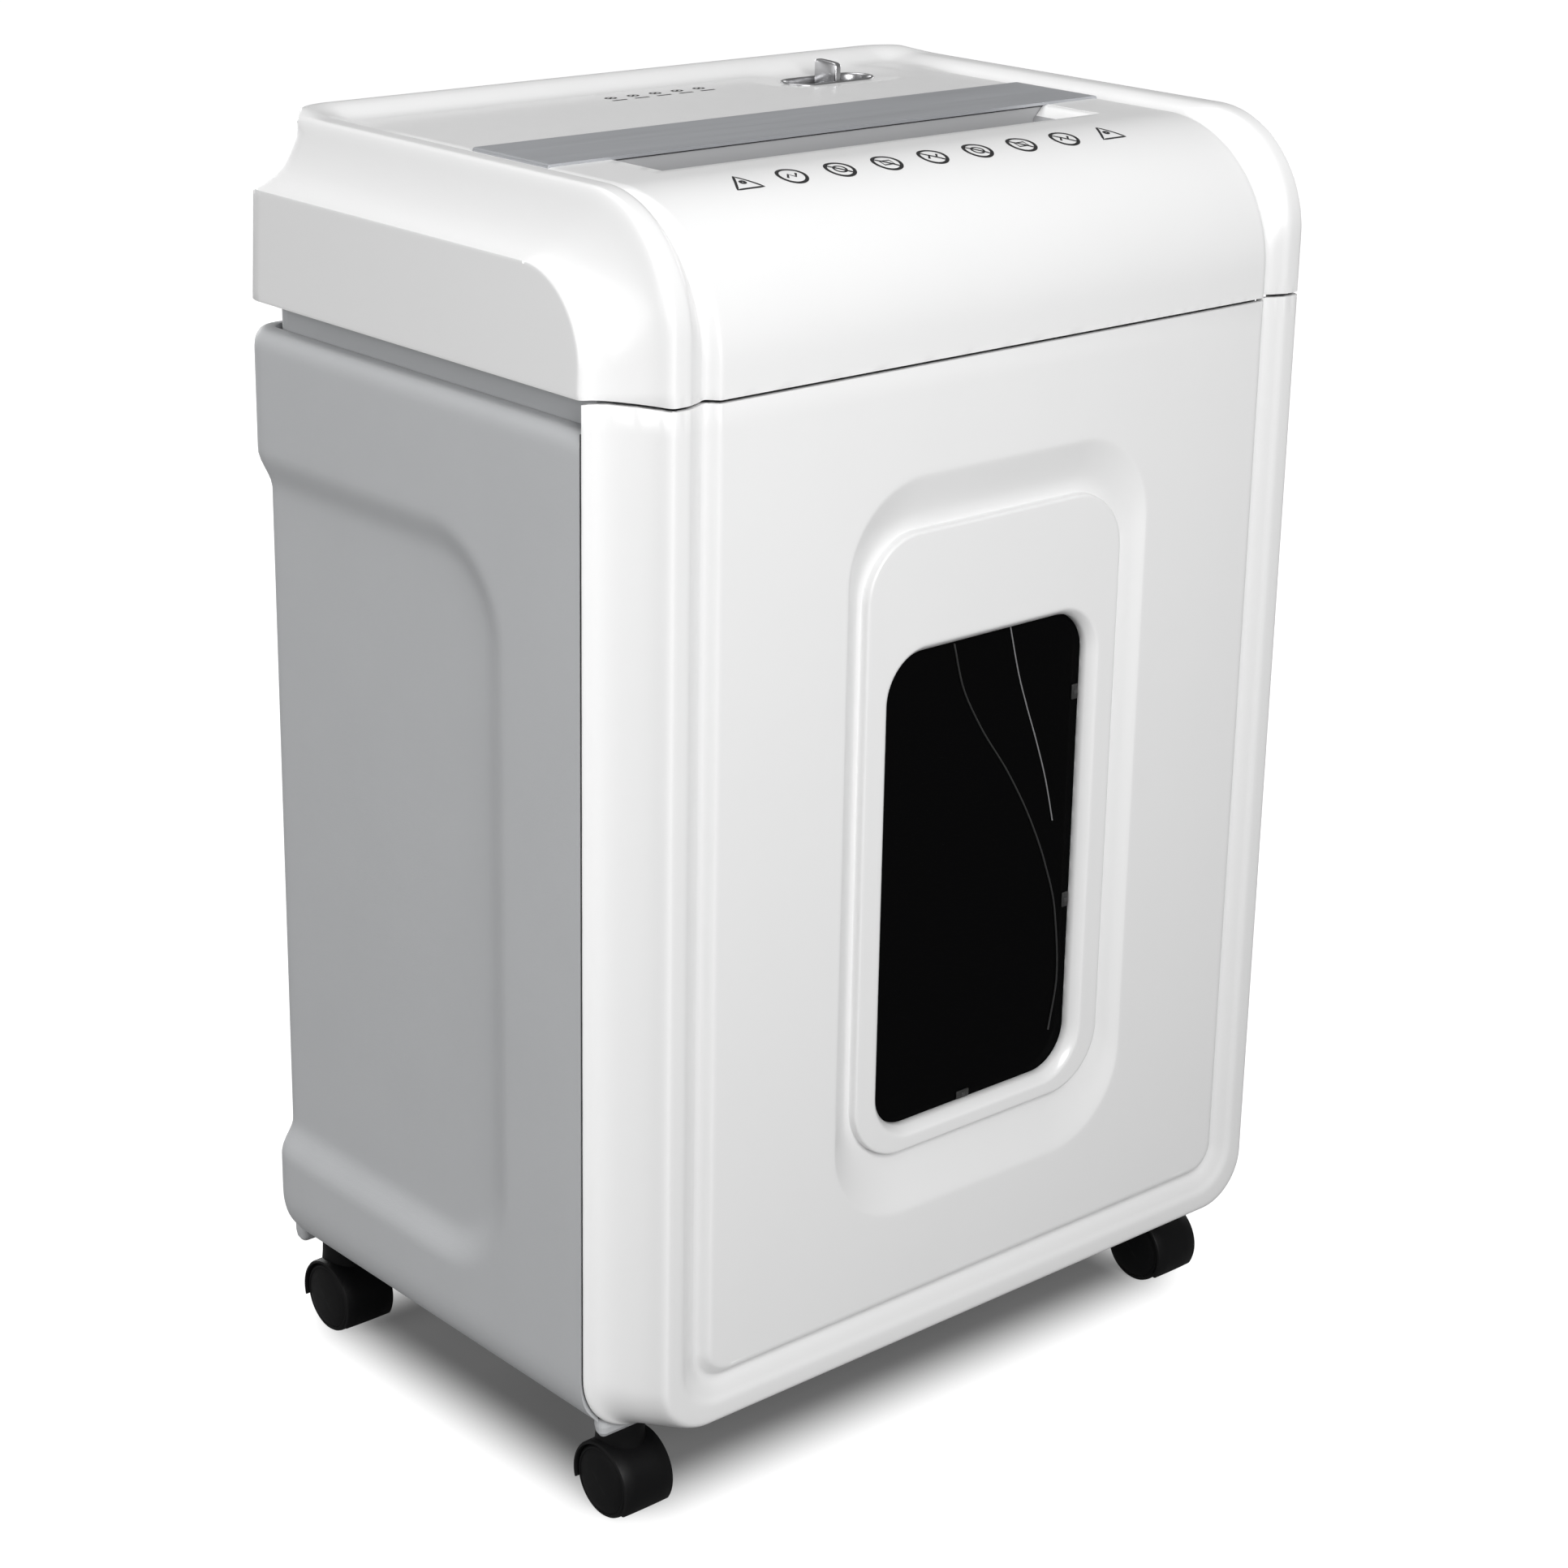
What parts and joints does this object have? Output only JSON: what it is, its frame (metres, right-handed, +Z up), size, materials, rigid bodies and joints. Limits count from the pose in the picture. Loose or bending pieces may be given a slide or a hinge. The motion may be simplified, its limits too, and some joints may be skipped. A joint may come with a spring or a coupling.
{
  "type": "paper shredder",
  "caption": "Upright office paper shredder: white curved head with a top paper slot, grey cabinet, white pull-out bin front with a dark window, twin-wheel casters.",
  "frame": {"origin": "on the floor under the middle of the whole object", "axes": "+Z up, front towards -Y, +X to the right of someone facing the front"},
  "size_m": [0.39, 0.267, 0.57],
  "materials": {
    "white_plastic": "satin white with a light polish",
    "grey_plastic": "fine matte texture",
    "satin_plate": "satin sheet",
    "chrome": "satin chrome",
    "smoked_lens": "gloss",
    "smoked_window": "smoked clear plastic",
    "circuit_board": "solder mask",
    "steel": "plain steel",
    "bronze": "sintered bronze",
    "nylon": "moulded",
    "black_plastic": "moulded",
    "caster_black": "moulded, light sheen"
  },
  "bodies": {
    "cabinet": {"head_cover": "white_plastic", "paper_guide": "grey_plastic", "head_base": "grey_plastic", "cabinet_body": "grey_plastic", "base_plate": "grey_plastic", "entry_plate": "satin_plate", "switch_track": "chrome", "indicator_lens": "smoked_lens", "control_board": "circuit_board", "side_frame_left": "steel", "side_frame_right": "steel", "tie_rod_1": "steel", "tie_rod_2": "steel", "tie_rod_3": "steel", "reduction_pin": "steel", "motor_can": "steel", "bush_front_left": "bronze", "bush_front_right": "bronze", "bush_rear_left": "bronze", "bush_rear_right": "bronze", "stripper_front": "nylon", "stripper_rear": "nylon", "paper_sensor": "black_plastic", "power_inlet": "black_plastic", "bin_sensor": "black_plastic"},
    "bin": {"bin_front": "white_plastic", "window_pane": "smoked_window", "bin_bucket": "black_plastic", "bin_magnet": "steel"},
    "mode_switch": {"switch_knob": "chrome"},
    "rear_cutter": {"cutter_rear": "steel", "sync_gear_rear": "steel", "drive_gear": "steel"},
    "front_cutter": {"cutter_front": "steel", "sync_gear_front": "steel"},
    "reduction": {"reduction_gear": "nylon"},
    "rotor": {"motor_rotor": "steel", "motor_fan": "black_plastic"},
    "lever": {"paper_lever": "black_plastic"},
    "caster_front_left": {"caster_hood_front_left": "caster_black", "caster_stem_front_left": "steel"},
    "wheels_front_left": {"wheel_front_left_a": "caster_black", "wheel_front_left_b": "caster_black", "axle_front_left": "steel"},
    "caster_front_right": {"caster_hood_front_right": "caster_black", "caster_stem_front_right": "steel"},
    "wheels_front_right": {"wheel_front_right_a": "caster_black", "wheel_front_right_b": "caster_black", "axle_front_right": "steel"},
    "caster_rear_left": {"caster_hood_rear_left": "caster_black", "caster_stem_rear_left": "steel"},
    "wheels_rear_left": {"wheel_rear_left_a": "caster_black", "wheel_rear_left_b": "caster_black", "axle_rear_left": "steel"},
    "caster_rear_right": {"caster_hood_rear_right": "caster_black", "caster_stem_rear_right": "steel"},
    "wheels_rear_right": {"wheel_rear_right_a": "caster_black", "wheel_rear_right_b": "caster_black", "axle_rear_right": "steel"}
  },
  "joints": [
    {"name": "bin_slide", "type": "slide", "parent": "cabinet", "child": "bin", "axis": [0, -1, 0], "range_m": [0, 0.2]},
    {"name": "switch_slide", "type": "slide", "parent": "cabinet", "child": "mode_switch", "axis": [1, 0, 0], "range_m": [-0.008, 0.008]},
    {"name": "rear_cutter_spin", "type": "hinge", "parent": "cabinet", "child": "rear_cutter", "pos_m": [0, -0.0245, 0.5], "axis": [1, 0, 0], "continuous": true},
    {"name": "front_cutter_spin", "type": "hinge", "parent": "cabinet", "child": "front_cutter", "pos_m": [0, -0.0645, 0.5], "axis": [1, 0, 0], "continuous": true},
    {"name": "reduction_spin", "type": "hinge", "parent": "cabinet", "child": "reduction", "pos_m": [0.156, 0.0155, 0.5], "axis": [1, 0, 0], "continuous": true},
    {"name": "rotor_spin", "type": "hinge", "parent": "cabinet", "child": "rotor", "pos_m": [0.06, 0.0555, 0.5], "axis": [1, 0, 0], "continuous": true},
    {"name": "lever_swing", "type": "hinge", "parent": "cabinet", "child": "lever", "pos_m": [0.015, -0.0205, 0.536], "axis": [1, 0, 0], "range_deg": [0, 30], "stiffness_Nm_per_rad": 0.002, "springref_deg": -5.73},
    {"name": "caster_front_left_swivel", "type": "hinge", "parent": "cabinet", "child": "caster_front_left", "pos_m": [-0.1635, -0.0885, 0.04], "axis": [0, 0, 1], "continuous": true},
    {"name": "wheels_front_left_roll", "type": "hinge", "parent": "caster_front_left", "child": "wheels_front_left", "pos_m": [-0.1635, -0.0905, 0.0165], "axis": [1, 0, 0], "continuous": true},
    {"name": "caster_front_right_swivel", "type": "hinge", "parent": "cabinet", "child": "caster_front_right", "pos_m": [0.1635, -0.0885, 0.04], "axis": [0, 0, 1], "continuous": true},
    {"name": "wheels_front_right_roll", "type": "hinge", "parent": "caster_front_right", "child": "wheels_front_right", "pos_m": [0.1635, -0.0905, 0.0165], "axis": [1, 0, 0], "continuous": true},
    {"name": "caster_rear_left_swivel", "type": "hinge", "parent": "cabinet", "child": "caster_rear_left", "pos_m": [-0.1635, 0.117, 0.04], "axis": [0, 0, 1], "continuous": true},
    {"name": "wheels_rear_left_roll", "type": "hinge", "parent": "caster_rear_left", "child": "wheels_rear_left", "pos_m": [-0.1635, 0.115, 0.0165], "axis": [1, 0, 0], "continuous": true},
    {"name": "caster_rear_right_swivel", "type": "hinge", "parent": "cabinet", "child": "caster_rear_right", "pos_m": [0.1635, 0.117, 0.04], "axis": [0, 0, 1], "continuous": true},
    {"name": "wheels_rear_right_roll", "type": "hinge", "parent": "caster_rear_right", "child": "wheels_rear_right", "pos_m": [0.1635, 0.115, 0.0165], "axis": [1, 0, 0], "continuous": true}
  ],
  "couplings": [
    {"joint": "front_cutter_spin", "follows": "rear_cutter_spin", "ratio": -1},
    {"joint": "reduction_spin", "follows": "rear_cutter_spin", "ratio": -3},
    {"joint": "rotor_spin", "follows": "rear_cutter_spin", "ratio": 17}
  ]
}
